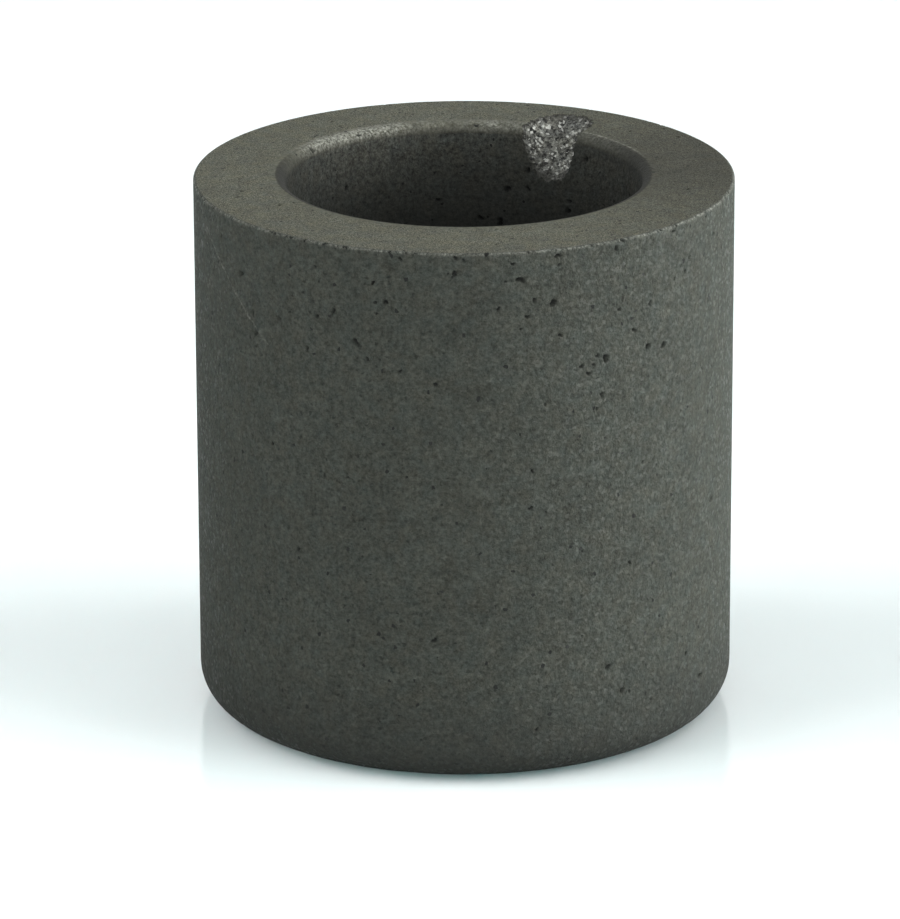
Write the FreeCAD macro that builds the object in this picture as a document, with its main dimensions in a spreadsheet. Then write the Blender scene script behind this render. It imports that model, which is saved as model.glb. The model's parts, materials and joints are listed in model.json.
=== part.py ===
import FreeCAD, Part
import math
import os

import Sketcher
from FreeCAD import Placement, Rotation, Vector

# A small foundry crucible turned from one block of graphite: a thick-walled cylinder with a blind bore,
# a rounded base, a rounded mouth and a pouring notch ground into the mouth with a tapered burr.
# Millimetres and degrees. +Z is up, and the origin is the middle of the base.

DRIVING_SIZES = [
    # alias, value, what it is
    ("outer_diameter", 50.0, "outside of the cylinder"),
    ("overall_height", 50.8, "base to rim"),
    ("wall_thickness", 8.5, "nominal wall round the bore"),
    ("floor_thickness", 9.0, "solid left under the bore"),
    ("bore_offset", 0.6, "how far off centre the bore was drilled, towards +Y"),
    ("base_round", 3.6, "radius between the outside and the base"),
    ("rim_break", 0.25, "radius between the outside and the rim"),
    ("mouth_round", 1.0, "radius between the rim and the bore"),
    ("floor_round", 4.0, "radius between the bore and its floor"),
    ("notch_bearing", 60.5, "direction of the notch from +X, turning towards +Y"),
    ("notch_reach", 4.7, "how far the notch runs across the rim from the mouth's edge"),
    ("notch_depth", 5.2, "how far the notch runs down the bore from the rim"),
    ("burr_top_radius", 3.5, "radius of the burr at the notch's outer end"),
    ("burr_foot_radius", 2.3, "radius of the burr at the notch's lower end"),
    ("cut_overrun", 5.0, "how far a cutting profile runs past the block"),
]

FOLLOWING_SIZES = [
    ("outer_radius", "=outer_diameter / 2"),
    ("bore_radius", "=outer_radius - wall_thickness"),
    ("mouth_radius", "=bore_radius + mouth_round"),
]

# The two ends of a line, or of an arc counted anticlockwise.
START, END = 1, 2
# A sketch's own upright axis, and its origin, which is the start of its level axis.
UPRIGHT = -2
ORIGIN = (-1, START)


def add_sheet(doc):
    """The spreadsheet that the sketches read their sizes from."""
    sheet = doc.addObject("Spreadsheet::Sheet", "Sizes")
    rows = DRIVING_SIZES + [(alias, formula, "") for alias, formula in FOLLOWING_SIZES]
    for row, (alias, value, note) in enumerate(rows, start=1):
        sheet.set(f"A{row}", alias)
        sheet.set(f"B{row}", str(value))
        sheet.setAlias(f"B{row}", alias)
        sheet.set(f"C{row}", note)
    doc.recompute()
    return sheet


def add_sketch(body, name):
    """A sketch on the body's XZ plane: its first direction is +X and its second is +Z."""
    sketch = body.newObject("Sketcher::SketchObject", name)
    plane = next(item for item in body.Origin.OriginFeatures if item.Role == "XZ_Plane")
    sketch.AttachmentSupport = [(plane, "")]
    sketch.MapMode = "FlatFace"
    return sketch


def line(x1, y1, x2, y2):
    return Part.LineSegment(Vector(x1, y1, 0), Vector(x2, y2, 0))


def quarter_arc(x, y, radius, first_degrees):
    circle = Part.Circle(Vector(x, y, 0), Vector(0, 0, 1), radius)
    return Part.ArcOfCircle(circle, math.radians(first_degrees), math.radians(first_degrees + 90))


def draw_loop(sketch, pieces, smooth_joints=()):
    """Draws pieces, each (geometry, first end, last end), as one closed loop.

    A joint listed in smooth_joints, by the place of the piece before it, is tangent.
    """
    numbers = [sketch.addGeometry(geometry, False) for geometry, _, _ in pieces]
    for here, (_, _, last) in enumerate(pieces):
        following = (here + 1) % len(pieces)
        kind = "Tangent" if here in smooth_joints else "Coincident"
        first = pieces[following][1]
        sketch.addConstraint(Sketcher.Constraint(kind, numbers[here], last, numbers[following], first))
    return numbers


def fix(sketch, kind, *where):
    sketch.addConstraint(Sketcher.Constraint(kind, *where))


def size(sketch, name, formula, kind, *where):
    """A dimension that follows a formula of the sheet's sizes."""
    number = sketch.addConstraint(Sketcher.Constraint(kind, *where))
    sketch.renameConstraint(number, name)
    sketch.setExpression(f"Constraints.{name}", formula)


def turn_block(body, sheet):
    """The outside: a cylinder with a rounded base and a broken rim edge, turned about +Z."""
    sketch = add_sketch(body, "OutsideProfile")
    radius, height = sheet.outer_radius, sheet.overall_height
    low, high = sheet.base_round, sheet.rim_break
    base, foot, wall, edge, rim, axis = draw_loop(
        sketch,
        [
            (line(0, 0, radius - low, 0), START, END),
            (quarter_arc(radius - low, low, low, -90), START, END),
            (line(radius, low, radius, height - high), START, END),
            (quarter_arc(radius - high, height - high, high, 0), START, END),
            (line(radius - high, height, 0, height), START, END),
            (line(0, height, 0, 0), START, END),
        ],
        smooth_joints=(0, 1, 2, 3),
    )
    fix(sketch, "Coincident", base, START, *ORIGIN)
    fix(sketch, "Horizontal", base)
    fix(sketch, "Vertical", wall)
    fix(sketch, "Horizontal", rim)
    fix(sketch, "Vertical", axis)
    size(sketch, "block_radius", "Sizes.outer_radius", "DistanceX", base, START, wall, START, radius)
    size(sketch, "block_height", "Sizes.overall_height", "DistanceY", base, START, rim, END, height)
    size(sketch, "foot_radius", "Sizes.base_round", "Radius", foot, low)
    size(sketch, "edge_radius", "Sizes.rim_break", "Radius", edge, high)

    block = body.newObject("PartDesign::Revolution", "Block")
    block.Profile = sketch
    block.ReferenceAxis = (sketch, ["V_Axis"])
    block.Angle = 360
    return block


def bore_cavity(body, sheet):
    """The melt cavity: a blind bore with a rounded floor corner and a rounded mouth, on its own axis."""
    sketch = add_sketch(body, "CavityProfile")
    sketch.setExpression("AttachmentOffset.Base.z", "-Sizes.bore_offset")
    radius, mouth = sheet.bore_radius, sheet.mouth_radius
    floor, rim = sheet.floor_thickness, sheet.overall_height
    corner, lip, top = sheet.floor_round, sheet.mouth_round, rim + sheet.cut_overrun
    bottom, turn, wall, flare, riser, cover, axis = draw_loop(
        sketch,
        [
            (line(0, floor, radius - corner, floor), START, END),
            (quarter_arc(radius - corner, floor + corner, corner, -90), START, END),
            (line(radius, floor + corner, radius, rim - lip), START, END),
            (quarter_arc(mouth, rim - lip, lip, 90), END, START),
            (line(mouth, rim, mouth, top), START, END),
            (line(mouth, top, 0, top), START, END),
            (line(0, top, 0, floor), START, END),
        ],
        smooth_joints=(0, 1, 2),
    )
    fix(sketch, "PointOnObject", bottom, START, UPRIGHT)
    fix(sketch, "Horizontal", bottom)
    fix(sketch, "Vertical", wall)
    fix(sketch, "Vertical", riser)
    fix(sketch, "Horizontal", cover)
    fix(sketch, "Vertical", axis)
    size(sketch, "floor_height", "Sizes.floor_thickness", "DistanceY", *ORIGIN, bottom, START, floor)
    size(sketch, "cavity_radius", "Sizes.bore_radius", "DistanceX", *ORIGIN, wall, START, radius)
    size(sketch, "corner_radius", "Sizes.floor_round", "Radius", turn, corner)
    size(sketch, "lip_radius", "Sizes.mouth_round", "Radius", flare, lip)
    size(sketch, "rim_height", "Sizes.overall_height", "DistanceY", *ORIGIN, riser, START, rim)
    size(sketch, "lip_width", "Sizes.mouth_round", "DistanceX", wall, END, riser, START, lip)
    size(sketch, "overrun", "Sizes.cut_overrun", "DistanceY", riser, START, riser, END, sheet.cut_overrun)

    cavity = body.newObject("PartDesign::Groove", "Cavity")
    cavity.Profile = sketch
    cavity.ReferenceAxis = (sketch, ["V_Axis"])
    cavity.Angle = 360
    return cavity


def grind_notch(body, sheet):
    """The pouring notch: what a tapered burr takes away when it is held slanting over the mouth.

    Half the burr's section is drawn in the upright plane of the notch's bearing. Its lower edge runs
    through the notch's two ends: the far one on the rim, and the low one on the wall of the bore.
    """
    sketch = add_sketch(body, "NotchProfile")
    sketch.AttachmentOffset = Placement(Vector(), Rotation(Vector(0, 1, 0), sheet.notch_bearing))
    sketch.setExpression("AttachmentOffset.Base.z", "-Sizes.bore_offset")
    sketch.setExpression("AttachmentOffset.Rotation.Angle", "Sizes.notch_bearing")

    rim, overrun = sheet.overall_height, sheet.cut_overrun
    thick, thin = sheet.burr_top_radius, sheet.burr_foot_radius
    far_end = Vector(sheet.mouth_radius + sheet.notch_reach, rim, 0)
    low_end = Vector(sheet.bore_radius, rim - sheet.notch_depth, 0)
    run = far_end - low_end
    taper = math.asin((thick - thin) / run.Length)
    slope = math.atan2(run.y, run.x) + taper
    to_axis = Vector(-math.sin(slope), math.cos(slope), 0)
    past_end = run.normalize() * overrun
    widening = overrun * math.sin(taper)
    nose = low_end - past_end
    shank = far_end + past_end
    nose_centre = nose + to_axis * (thin - widening)
    shank_centre = shank + to_axis * (thick + widening)

    axis = sketch.addGeometry(Part.LineSegment(nose_centre, shank_centre), True)
    edge, back, middle, front = draw_loop(
        sketch,
        [
            (Part.LineSegment(nose, shank), START, END),
            (Part.LineSegment(shank, shank_centre), START, END),
            (Part.LineSegment(shank_centre, nose_centre), START, END),
            (Part.LineSegment(nose_centre, nose), START, END),
        ],
    )
    far_point = sketch.addGeometry(Part.Point(far_end), True)
    low_point = sketch.addGeometry(Part.Point(low_end), True)
    fix(sketch, "Coincident", axis, START, middle, END)
    fix(sketch, "Coincident", axis, END, middle, START)
    fix(sketch, "Perpendicular", back, middle)
    fix(sketch, "Perpendicular", front, middle)
    fix(sketch, "PointOnObject", far_point, START, edge)
    fix(sketch, "PointOnObject", low_point, START, edge)
    size(sketch, "far_end_out", "Sizes.mouth_radius + Sizes.notch_reach",
         "DistanceX", *ORIGIN, far_point, START, far_end.x)
    size(sketch, "far_end_up", "Sizes.overall_height", "DistanceY", *ORIGIN, far_point, START, far_end.y)
    size(sketch, "low_end_out", "Sizes.bore_radius", "DistanceX", *ORIGIN, low_point, START, low_end.x)
    size(sketch, "low_end_up", "Sizes.overall_height - Sizes.notch_depth",
         "DistanceY", *ORIGIN, low_point, START, low_end.y)
    size(sketch, "thick_radius", "Sizes.burr_top_radius", "Distance", far_point, START, middle, thick)
    size(sketch, "thin_radius", "Sizes.burr_foot_radius", "Distance", low_point, START, middle, thin)
    size(sketch, "shank_overrun", "Sizes.cut_overrun", "Distance", far_point, START, edge, END, overrun)
    size(sketch, "nose_overrun", "Sizes.cut_overrun", "Distance", low_point, START, edge, START, overrun)

    notch = body.newObject("PartDesign::Groove", "PouringNotch")
    notch.Profile = sketch
    notch.ReferenceAxis = (sketch, ["Axis0"])
    notch.Angle = 360
    return notch


def check(doc, body, cuts):
    """Stops the build if anything failed, or if a cut took nothing away."""
    for item in doc.Objects:
        if {"Invalid", "Error"} & set(item.State):
            raise RuntimeError(f"{item.Label} failed: {item.State}")
    for before, after in zip(cuts, cuts[1:]):
        if after.Shape.Volume >= before.Shape.Volume:
            raise RuntimeError(f"{after.Label} cuts nothing")
    shape = body.Shape
    if shape.isNull() or not shape.isValid() or len(shape.Solids) != 1:
        raise RuntimeError(f"{body.Label} isn't one sound solid")


def main():
    doc = FreeCAD.newDocument("Crucible")
    sheet = add_sheet(doc)
    body = doc.addObject("PartDesign::Body", "crucible")
    body.Label = "crucible"
    body.Placement = Placement()
    steps = [make(body, sheet) for make in (turn_block, bore_cavity, grind_notch)]
    doc.recompute()
    check(doc, body, steps)

    os.makedirs("parts", exist_ok=True)
    body.Shape.exportStep(f"parts/{body.Label}.step")
    box = body.Shape.optimalBoundingBox()
    print(f"{body.Label}: {box.XLength:.2f} x {box.YLength:.2f} x {box.ZLength:.2f} mm, "
          f"{body.Shape.Volume / 1000:.2f} cm3")


main()
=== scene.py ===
import json
import math
import random

import bpy
import numpy as np
from bpy.props import FloatProperty, FloatVectorProperty, IntProperty, PointerProperty
from mathutils import Matrix, Vector


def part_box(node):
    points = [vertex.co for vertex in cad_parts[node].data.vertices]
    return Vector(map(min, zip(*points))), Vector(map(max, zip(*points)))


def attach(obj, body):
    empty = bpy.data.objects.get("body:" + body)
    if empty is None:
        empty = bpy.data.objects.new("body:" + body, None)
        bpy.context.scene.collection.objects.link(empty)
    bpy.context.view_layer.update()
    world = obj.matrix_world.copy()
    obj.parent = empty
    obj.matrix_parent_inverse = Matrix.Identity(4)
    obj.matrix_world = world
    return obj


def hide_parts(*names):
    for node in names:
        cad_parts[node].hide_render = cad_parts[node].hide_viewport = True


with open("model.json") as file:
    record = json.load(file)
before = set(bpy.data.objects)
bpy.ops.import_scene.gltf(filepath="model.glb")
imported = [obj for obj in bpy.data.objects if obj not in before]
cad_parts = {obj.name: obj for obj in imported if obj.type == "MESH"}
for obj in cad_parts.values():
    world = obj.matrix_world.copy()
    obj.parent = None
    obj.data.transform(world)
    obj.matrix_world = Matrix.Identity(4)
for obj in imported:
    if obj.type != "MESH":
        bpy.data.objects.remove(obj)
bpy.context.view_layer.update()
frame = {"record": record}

bl_info = {
    "name": "Graphite Crucible",
    "version": (1, 0, 0),
    "blender": (4, 5, 0),
    "location": "View3D > Sidebar > Crucible",
    "description": "A small turned graphite crucible with open pores and a ground pouring notch",
    "category": "Add Mesh",
}

MM = 0.001

# Sizes that the frame gives: the block from the node's box, and the cavity from its bore mount.
BLOCK_LOW, BLOCK_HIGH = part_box("crucible")
CAVITY = next(mount for mount in frame["record"]["mounts"] if mount["name"] == "cavity")


# ---------------------------------------------------------------- settings


def hex_colour(code):
    """An sRGB hex value as linear colour."""
    parts = [int(code[i:i + 2], 16) / 255 for i in (1, 3, 5)]
    linear = [p / 12.92 if p <= 0.04045 else ((p + 0.055) / 1.055) ** 2.4 for p in parts]
    return (*linear, 1.0)


def length_setting(name, description, default):
    """A setting in metres, which Blender shows in the user's own units."""
    return FloatProperty(name=name, description=description, default=default, unit="LENGTH")


def colour_setting(name, description, code):
    """A colour setting whose default is an sRGB hex value."""
    return FloatVectorProperty(
        name=name, description=description, default=hex_colour(code), subtype="COLOR", size=4,
        min=0, max=1)


class CrucibleSizes(bpy.types.PropertyGroup):
    """The turned and ground shape. What the frame doesn't give repeats the model's own sizes."""

    outer_radius: length_setting(
        "Outer radius", "Outside of the block", (BLOCK_HIGH.x - BLOCK_LOW.x) / 2)
    height: length_setting("Height", "Base to rim", BLOCK_HIGH.z)
    bore_radius: length_setting(
        "Bore radius", "Radius of the melt cavity", CAVITY["dims"]["r_mm"] * MM)
    bore_offset: length_setting(
        "Bore offset", "How far off centre the cavity was drilled, towards +Y", CAVITY["pos_m"][1])
    floor_thickness: length_setting("Floor thickness", "Graphite left under the cavity", 9.0 * MM)
    base_round: length_setting("Base round", "Radius between the outside and the base", 3.6 * MM)
    rim_break: length_setting("Rim break", "Radius between the outside and the rim", 0.25 * MM)
    mouth_round: length_setting("Mouth round", "Radius between the rim and the cavity", 1.0 * MM)
    floor_round: length_setting(
        "Floor round", "Radius between the cavity's wall and its floor", 4.0 * MM)
    notch_bearing: FloatProperty(
        name="Notch bearing", description="Direction of the pouring notch, from +X towards +Y",
        default=math.radians(60.5), subtype="ANGLE")
    notch_reach: length_setting("Notch reach", "How far the notch runs across the rim", 4.7 * MM)
    notch_depth: length_setting(
        "Notch depth", "How far the notch runs down the cavity's wall", 5.2 * MM)
    burr_top_radius: length_setting(
        "Burr top radius", "Radius of the grinding burr at the notch's outer end", 3.5 * MM)
    burr_foot_radius: length_setting(
        "Burr foot radius", "Radius of the grinding burr at the notch's lower end", 2.3 * MM)


class CrucibleFinish(bpy.types.PropertyGroup):
    """What the graphite looks like: its pores and chips, and how rough the ground notch is."""

    outside_pores: IntProperty(
        name="Outside pores", description="Open pores scattered over the outside wall",
        default=150, min=0)
    cavity_pores: IntProperty(
        name="Cavity pores", description="Open pores scattered over the cavity's wall",
        default=60, min=0)
    rim_pores: IntProperty(
        name="Rim pores", description="Open pores scattered over the rim's face", default=16, min=0)
    edge_chips: IntProperty(
        name="Edge chips", description="Small chips along the rim's outer edge", default=45, min=0)
    notch_roughness: length_setting(
        "Notch roughness", "How deep the burr tore grains out of the notch", 0.13 * MM)
    mouth_roughness: length_setting(
        "Mouth roughness", "How deep grains are torn out of the mouth's round", 0.05 * MM)
    seed: IntProperty(
        name="Seed", description="Which scatter of pores and chips is drawn", default=7)


class GraphiteColours(bpy.types.PropertyGroup):
    """The graphite's colours, and those of its painted shade and painted glints. Each surface drifts
    between a cool grey and a warm one.
    """

    turned_cool: colour_setting("Turned, cool", "The outside wall where it is coolest", "#454A45")
    turned_warm: colour_setting("Turned, warm", "The outside wall where it is warmest", "#484A43")
    faced_cool: colour_setting("Faced, cool", "The rim's face where it is coolest", "#5E6158")
    faced_warm: colour_setting("Faced, warm", "The rim's face where it is warmest", "#646456")
    bored_cool: colour_setting("Bored, cool", "The cavity's wall where it is coolest", "#323532")
    bored_warm: colour_setting("Bored, warm", "The cavity's wall where it is warmest", "#363630")
    ground_cool: colour_setting("Ground, cool", "The pouring notch where it is coolest", "#6F726F")
    ground_warm: colour_setting("Ground, warm", "The pouring notch where it is warmest", "#75756D")
    rubbed: colour_setting("Rubbed", "Pale specks on worn edges and the mouth", "#9B9D93")
    # Painted shade: darkens the pits of the open pores and the pinholes.
    pore: colour_setting("Pore", "Dark dust in the open pores and pinholes", "#2C2E2C")
    # Painted shade, nearly black: darkens the pits of the cavity's open pores, so that they look deep.
    cavity_pit_shade: colour_setting("Cavity pore", "Soot in the open pores of the cavity", "#141514")
    # Painted shade: darkens the mouth's round and the bore under it, the bore further down, and the foot
    # of the outside wall.
    grime: colour_setting("Grime", "Handling grime and soot rubbed into the surface", "#2C2E2C")
    # Painted glints: bright flecks in the notch that stand for flakes catching the light.
    painted_glint: colour_setting("Fleck", "Bright flakes where the burr tore the notch open", "#D6D8D2")


class StudioSettings(bpy.types.PropertyGroup):
    """The floor, the lamps and the camera."""

    floor_radius: length_setting("Floor radius", "How far the floor runs from the crucible", 1.5)
    floor_colour: colour_setting("Floor colour", "The white sheet as the camera sees it", "#F0FCFC")
    floor_bounce: colour_setting("Floor bounce", "The white sheet as it lights the crucible", "#434546")
    camera_distance: length_setting(
        "Camera distance", "From the camera to the crucible's axis", 0.6197)
    camera_elevation: FloatProperty(
        name="Camera elevation", description="How steeply the camera looks down",
        default=math.radians(18.914), subtype="ANGLE")


# ---------------------------------------------------------------- shape


class Profile:
    """The crucible's section as one line, from the middle of the base round to the middle of the floor.

    `along` is the length of that line from its start. Each stretch gives a radius about its own axis, a
    height, and how far that axis is shifted from the block's towards the cavity's.
    """

    def __init__(self, sizes):
        radius, height = sizes.outer_radius, sizes.height
        foot, edge = sizes.base_round, sizes.rim_break
        bore, lip, corner, floor = (
            sizes.bore_radius, sizes.mouth_round, sizes.floor_round, sizes.floor_thickness)
        self.offset = sizes.bore_offset
        quarter = math.pi / 2
        # name, length, start (radius, height), end (radius, height), round's centre or None
        self.stretches = [
            ("base", (0, 0), (radius - foot, 0), None),
            ("foot", (radius - foot, 0), (radius, foot), (radius - foot, foot)),
            ("outside", (radius, foot), (radius, height - edge), None),
            ("edge", (radius, height - edge), (radius - edge, height), (radius - edge, height - edge)),
            ("rim", (radius - edge, height), (bore + lip, height), None),
            ("mouth", (bore + lip, height), (bore, height - lip), (bore + lip, height - lip)),
            ("bore", (bore, height - lip), (bore, floor + corner), None),
            ("corner", (bore, floor + corner), (bore - corner, floor), (bore - corner, floor + corner)),
            ("floor", (bore - corner, floor), (0, floor), None),
        ]
        lengths = [
            math.dist(start, end) * (1 if centre is None else quarter / math.sqrt(2))
            for _, start, end, centre in self.stretches
        ]
        stops = np.concatenate([[0], np.cumsum(lengths)])
        self.total = stops[-1]
        self.span = {
            name: (stops[i], stops[i + 1]) for i, (name, _, _, _) in enumerate(self.stretches)
        }

    def at(self, along):
        """Radius, height and axis shift at each length along the line."""
        radius, level, shift = np.zeros_like(along), np.zeros_like(along), np.zeros_like(along)
        for name, start, end, centre in self.stretches:
            low, high = self.span[name]
            here = (along >= low) if name == "floor" else (along >= low) & (along < high)
            share = np.clip((along[here] - low) / (high - low), 0, 1)
            if centre is None:
                radius[here] = start[0] + (end[0] - start[0]) * share
                level[here] = start[1] + (end[1] - start[1]) * share
            else:
                turn = share * math.pi / 2
                first = np.subtract(start, centre)
                last = np.subtract(end, centre)
                radius[here] = centre[0] + first[0] * np.cos(turn) + last[0] * np.sin(turn)
                level[here] = centre[1] + first[1] * np.cos(turn) + last[1] * np.sin(turn)
            if name == "rim":
                shift[here] = self.offset * share
            elif name in ("mouth", "bore", "corner", "floor"):
                shift[here] = self.offset
        return radius, level, shift

    def place(self, bearing, along):
        """The points at bearings and lengths along the line."""
        radius, level, shift = self.at(along)
        return np.column_stack([
            radius * np.cos(bearing), radius * np.sin(bearing) + shift, level])

    def within(self, along, *names):
        """Which lengths lie in the named stretches."""
        return np.logical_or.reduce(
            [(along >= self.span[name][0]) & (along <= self.span[name][1]) for name in names])


# How steep the notch's sides are at their steepest.
STEEPEST_LIP = math.radians(84)
# The waves in the torn wall of the notch: how many round the burr, millimetres along it, and height as
# a share of its radius. Their middle lies a little inside the burr's radius, so that few crests pass it.
CHATTER = [(3, 4.0, 0.01), (7, -2.1, 0.02), (11, 1.3, 0.02), (17, -0.9, 0.02), (23, 0.7, 0.015)]
CHATTER_MIDDLE = 0.97
# How far along its axis the burr's cone is used, each way from its middle, as a share of its length.
BURR_REACH = 1.1


class Burr:
    """The tapered burr that ground the pouring notch, as an endless cone in its working place."""

    def __init__(self, sizes):
        outward = np.array([math.cos(sizes.notch_bearing), math.sin(sizes.notch_bearing), 0])
        up = np.array([0.0, 0.0, 1.0])
        middle = np.array([0.0, sizes.bore_offset, 0.0])
        far_end = (
            middle + outward * (sizes.bore_radius + sizes.mouth_round + sizes.notch_reach)
            + up * sizes.height)
        low_end = middle + outward * sizes.bore_radius + up * (sizes.height - sizes.notch_depth)
        run = far_end - low_end
        length = np.linalg.norm(run)
        taper = math.asin((sizes.burr_top_radius - sizes.burr_foot_radius) / length)
        slope = math.atan2(run @ up, run @ outward) + taper
        self.axis = outward * math.cos(slope) + up * math.sin(slope)
        self.down = outward * math.sin(slope) - up * math.cos(slope)
        self.side = np.cross(self.axis, self.down)
        self.foot = low_end - self.down * sizes.burr_foot_radius
        self.foot_radius = sizes.burr_foot_radius
        self.widening = math.tan(taper)
        self.length = length

    def reaches(self, reach):
        """Which lengths along the axis the burr cuts at: the endless cone is left out further on."""
        return np.abs(reach - 0.5 * self.length) < BURR_REACH * self.length

    def cut(self, points):
        """Presses points that lie inside the cone down onto it, and says which those are.

        The groove's round bottom runs on into straight sides, so its lips are steep but never undercut.
        """
        from_foot = points - self.foot
        reach = from_foot @ self.axis
        depth = from_foot @ self.down
        across = from_foot @ self.side
        turn = np.arctan2(across, depth)
        waver = CHATTER_MIDDLE
        for count, pitch, share in CHATTER:
            waver = waver + share * np.sin(count * turn + 2 * math.pi * reach / (pitch * MM))
        across = np.abs(across)
        radius = (self.foot_radius + reach * self.widening) * waver
        round_end = radius * math.sin(STEEPEST_LIP)
        bottom = np.sqrt(radius ** 2 - np.minimum(across, round_end) ** 2)
        bottom -= np.maximum(across - round_end, 0) * math.tan(STEEPEST_LIP)
        near = self.reaches(reach) & (depth > -radius)
        drop = np.where(near, np.maximum(bottom - depth, 0), 0)
        return points + drop[:, None] * self.down, drop > 0


# Two corners' numbers make one key for the edge between them, the first shifted by this many bits.
KEY_SHIFT = 32


class Surface:
    """Triangles over the profile, each corner kept as a bearing and a length along the profile."""

    def __init__(self, profile, burr):
        self.profile, self.burr = profile, burr
        self.bearing, self.along, self.faces = self.coarse()

    def coarse(self, spokes=12):
        """A coarse closed skin: rings of corners, about as far apart as in a ring, and two poles."""
        rings = []
        for low, high in self.profile.span.values():
            radius, _, _ = self.profile.at(np.array([(low + high) / 2]))
            rows = max(1, round((high - low) / (2 * math.pi * radius[0] / spokes)))
            rings += [low + (high - low) * row / rows for row in range(rows)]
        rings = rings[1:]
        turns = 2 * math.pi * np.arange(spokes) / spokes
        bearing = np.concatenate([[0.0], np.tile(turns, len(rings)), [0.0]])
        along = np.concatenate([[0.0], np.repeat(rings, spokes), [self.profile.total]])
        faces = []
        last = 1 + (len(rings) - 1) * spokes
        for spoke in range(spokes):
            following = (spoke + 1) % spokes
            faces.append((0, 1 + following, 1 + spoke))
            for low in range(1, last, spokes):
                high = low + spokes
                faces.append((low + spoke, low + following, high + following))
                faces.append((low + spoke, high + following, high + spoke))
            faces.append((last + spoke, last + following, len(bearing) - 1))
        return bearing, along, np.array(faces)

    def halfway(self, first, second):
        """The bearing and length of the surface's point halfway between pairs of corners."""
        radius, _, _ = self.profile.at(self.along)
        arm = radius * np.exp(1j * self.bearing)
        middle = (arm[first] + arm[second]) / 2
        along = (self.along[first] + self.along[second]) / 2
        base_end = self.profile.span["base"][1]
        floor_start = self.profile.span["floor"][0]
        slack = 1e-9
        on_base = np.maximum(self.along[first], self.along[second]) <= base_end + slack
        on_floor = np.minimum(self.along[first], self.along[second]) >= floor_start - slack
        along = np.where(on_base, np.abs(middle), along)
        along = np.where(on_floor, self.profile.total - np.abs(middle), along)
        return np.angle(middle), along

    def refine(self, wanted, shortest, passes=24):
        """Halves the longest edge of each triangle until no edge is longer than wanted(points, along).

        An edge whose uncut length is under `shortest` stays, so that the notch's steep lip doesn't
        draw in triangles without end.
        """
        settled = np.array([], dtype=np.int64)
        for _ in range(passes):
            uncut = self.profile.place(self.bearing, self.along)
            points, _ = self.burr.cut(uncut)
            faces = self.faces
            ends = np.sort(np.stack([faces, np.roll(faces, -1, axis=1)], axis=2).reshape(-1, 2), axis=1)
            keys, number = np.unique((ends[:, 0] << KEY_SHIFT) + ends[:, 1], return_inverse=True)
            edges = np.column_stack([keys >> KEY_SHIFT, keys & ((1 << KEY_SHIFT) - 1)])
            number = number.reshape(-1, 3)
            length = np.linalg.norm(points[edges[:, 0]] - points[edges[:, 1]], axis=1)
            uncut_length = np.linalg.norm(uncut[edges[:, 0]] - uncut[edges[:, 1]], axis=1)
            split = (uncut_length > shortest) & ~np.isin(keys, settled)
            new = np.flatnonzero(split)
            middle = points[edges[new]].mean(axis=1)
            split[new] = length[new] > wanted(middle, self.along[edges[new]].mean(axis=1), length[new])
            if not split.any():
                return
            settled = keys[~split]
            longest = number[np.arange(len(faces)), np.argmax(length[number], axis=1)]
            while True:
                grown = longest[split[number].any(axis=1)]
                if split[grown].all():
                    break
                split[grown] = True
            self.halve(edges, number, split, longest)

    def halve(self, edges, number, split, longest):
        """Cuts every split edge at its middle, and each triangle from its longest edge first."""
        first = len(self.bearing)
        fresh = np.full(len(edges), -1)
        fresh[split] = first + np.arange(split.sum())
        bearing, along = self.halfway(edges[split, 0], edges[split, 1])
        self.bearing = np.concatenate([self.bearing, bearing])
        self.along = np.concatenate([self.along, along])

        faces = self.faces
        touched = split[number].any(axis=1)
        kept = faces[~touched]
        faces, number, longest = faces[touched], number[touched], longest[touched]
        turn = np.argmax(number == longest[:, None], axis=1)
        rows = np.arange(len(faces))
        a, b, c = (faces[rows, (turn + step) % 3] for step in range(3))
        _, edge_bc, edge_ca = (number[rows, (turn + step) % 3] for step in range(3))
        middle = fresh[longest]
        parts = [kept]
        for start, end, edge in ((b, c, edge_bc), (c, a, edge_ca)):
            cut = split[edge]
            parts.append(np.column_stack([middle, start, end])[~cut])
            parts.append(np.column_stack([middle, start, fresh[edge]])[cut])
            parts.append(np.column_stack([middle, fresh[edge], end])[cut])
        self.faces = np.concatenate(parts)


# ---------------------------------------------------------------- pores, chips and scratches


# How far a pore's outline strays from round: how many waves run about it, and their greatest height as a
# share of its radius. Each pore draws the height of its own waves, from the lowest share of that up.
PORE_WAVES = ((2, 0.45), (3, 0.22), (5, 0.14))
LOWEST_WAVE = 0.4
# The narrowest that the waves may leave a pore, as a share of its radius.
NARROWEST_PORE = 0.2
# How much steeper a pore's wall is than a plain cone's. More than 1 leaves the pore a flat floor.
PORE_STEEPNESS = 1.9
# How far before and behind its place a pore presses, in radii, so that it stays on one wall.
PORE_BAND = 4


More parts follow.
